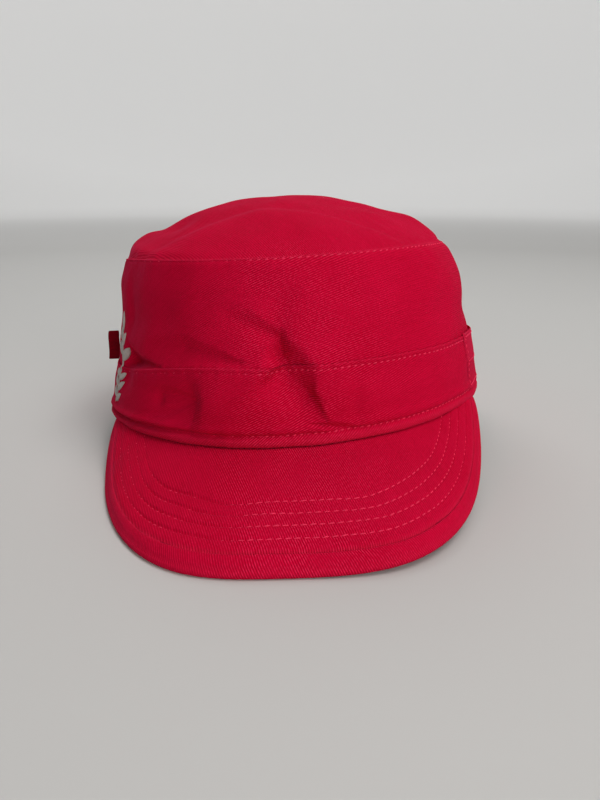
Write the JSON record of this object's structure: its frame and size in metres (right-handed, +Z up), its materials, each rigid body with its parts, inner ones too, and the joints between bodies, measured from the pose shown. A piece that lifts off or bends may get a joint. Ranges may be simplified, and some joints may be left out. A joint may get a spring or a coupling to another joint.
{
  "type": "cadet hat",
  "caption": "Soft cotton cadet hat with a domed flat-seamed crown, a stitched band, a short rounded visor, a side strap end and a small side tab, open below for the head.",
  "frame": {"origin": "middle of the hat's footprint, on the surface that it rests on", "axes": "+Z up, the visor towards -Y, +X to the right of someone who looks at the visor"},
  "size_m": [0.1892, 0.261, 0.1164],
  "materials": {
    "crown_twill": "washed red cotton twill, matt with a faint bloom",
    "visor_twill": "red cotton twill stretched over the visor board",
    "tab_ribbon": "dark red woven ribbon, folded double",
    "stitch_thread": "red sewing thread, slightly glossy",
    "motif_thread": "grey-white embroidery thread, satin"
  },
  "bodies": {
    "root": {"crown_top": "crown_twill", "crown_side": "crown_twill", "band": "crown_twill", "side_strap": "crown_twill", "visor": "visor_twill", "side_tab": "tab_ribbon"}
  },
  "joints": []
}
